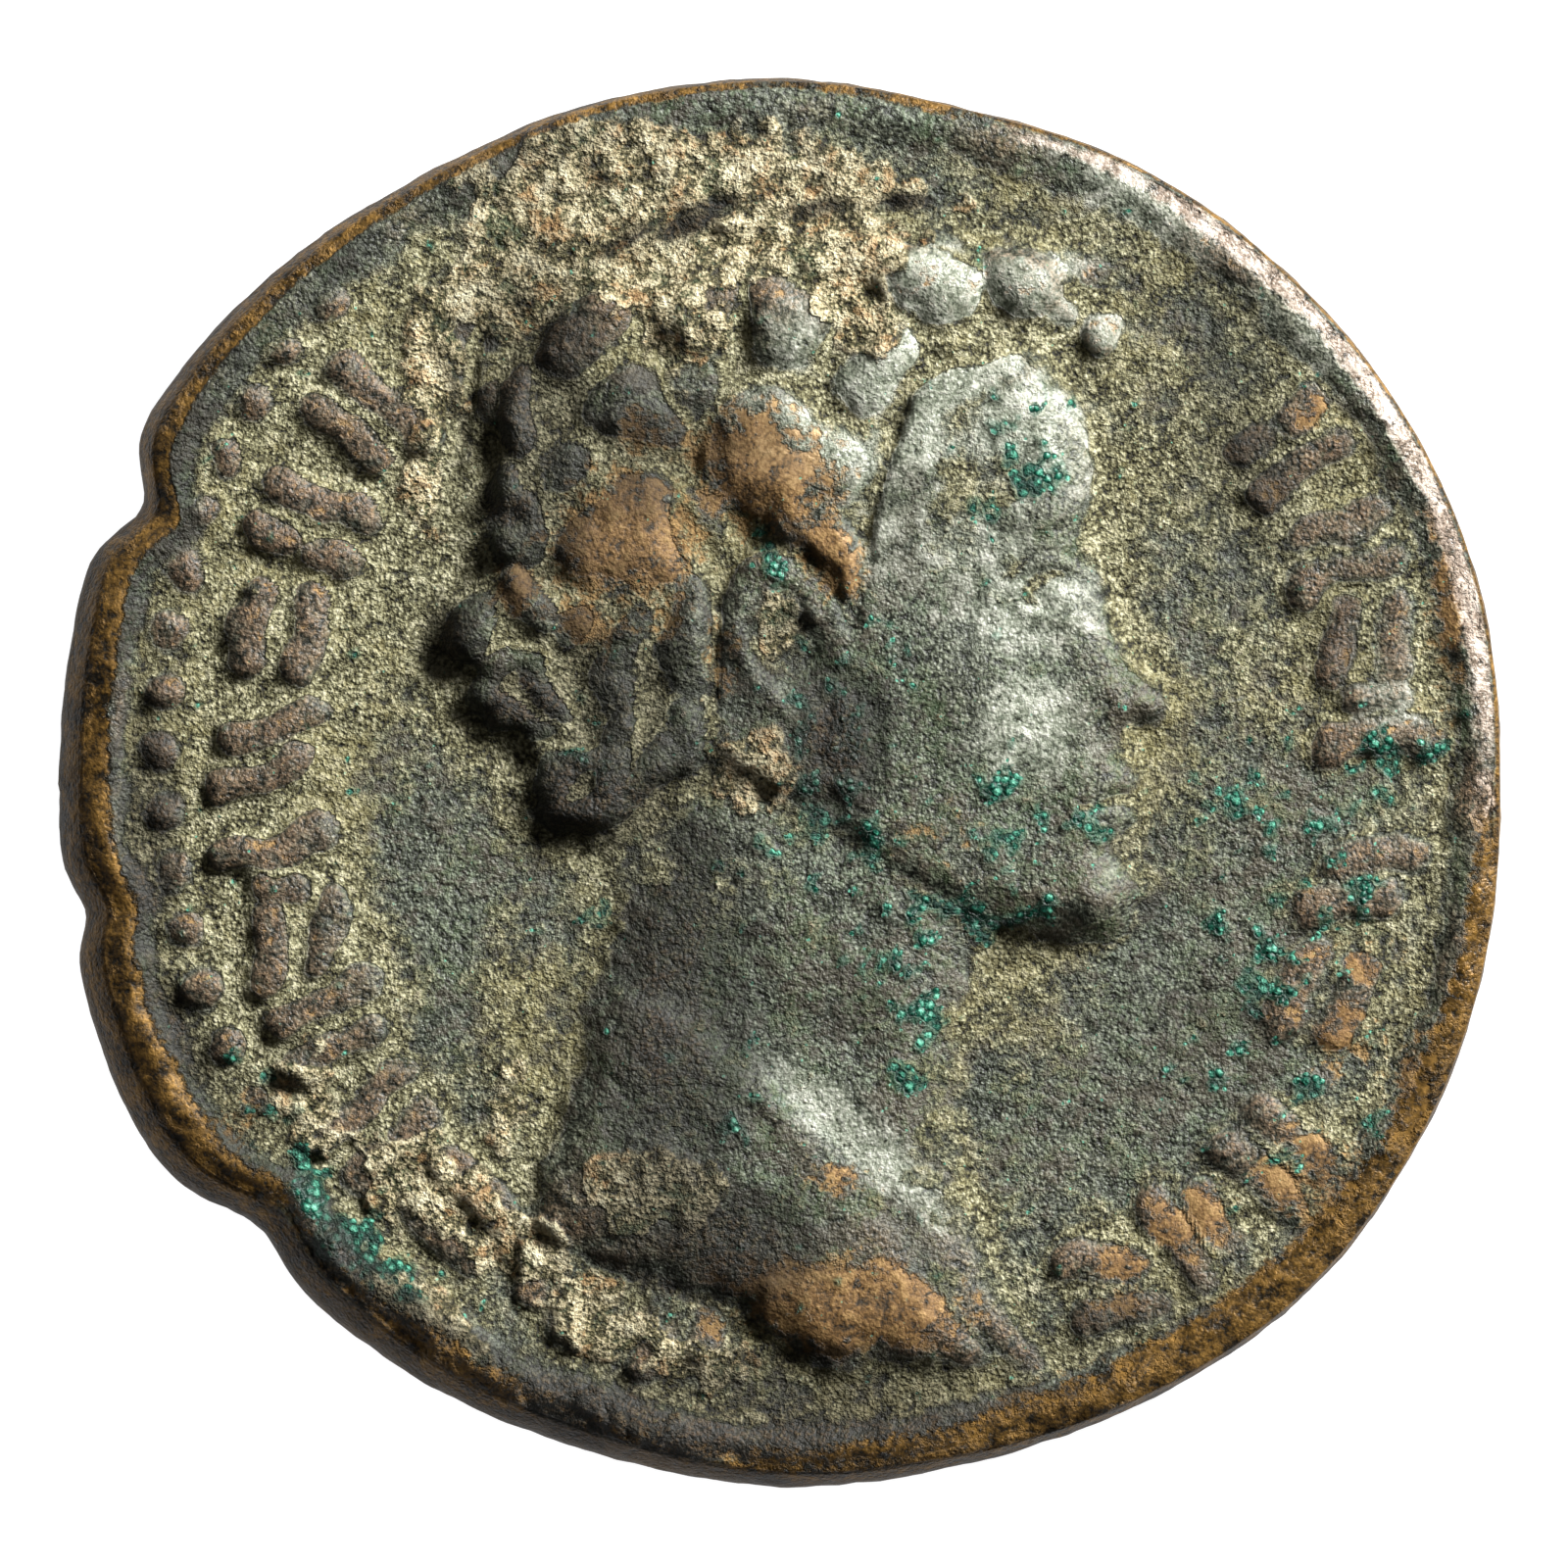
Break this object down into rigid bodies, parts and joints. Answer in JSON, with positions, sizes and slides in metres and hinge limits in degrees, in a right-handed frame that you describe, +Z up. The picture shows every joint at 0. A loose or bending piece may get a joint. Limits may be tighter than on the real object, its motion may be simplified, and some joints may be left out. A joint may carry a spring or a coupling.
{
  "type": "ancient bronze coin",
  "caption": "Worn round struck coin with an uneven flan, raised rim and beaded border, a low-relief bust in profile on the front and a plain standing figure on the back.",
  "frame": {"origin": "middle of the coin's outline, on the plane that its worn reverse lies on", "axes": "+Z up out of the obverse, +X the way the bust looks, +Y towards the top of the bust"},
  "size_m": [0.0266, 0.026, 0.003],
  "materials": {
    "bronze": "dark grey-green patina with sandy grains, worn brown on the high points and the rim"
  },
  "bodies": {
    "root": {"coin": "bronze"}
  },
  "joints": []
}
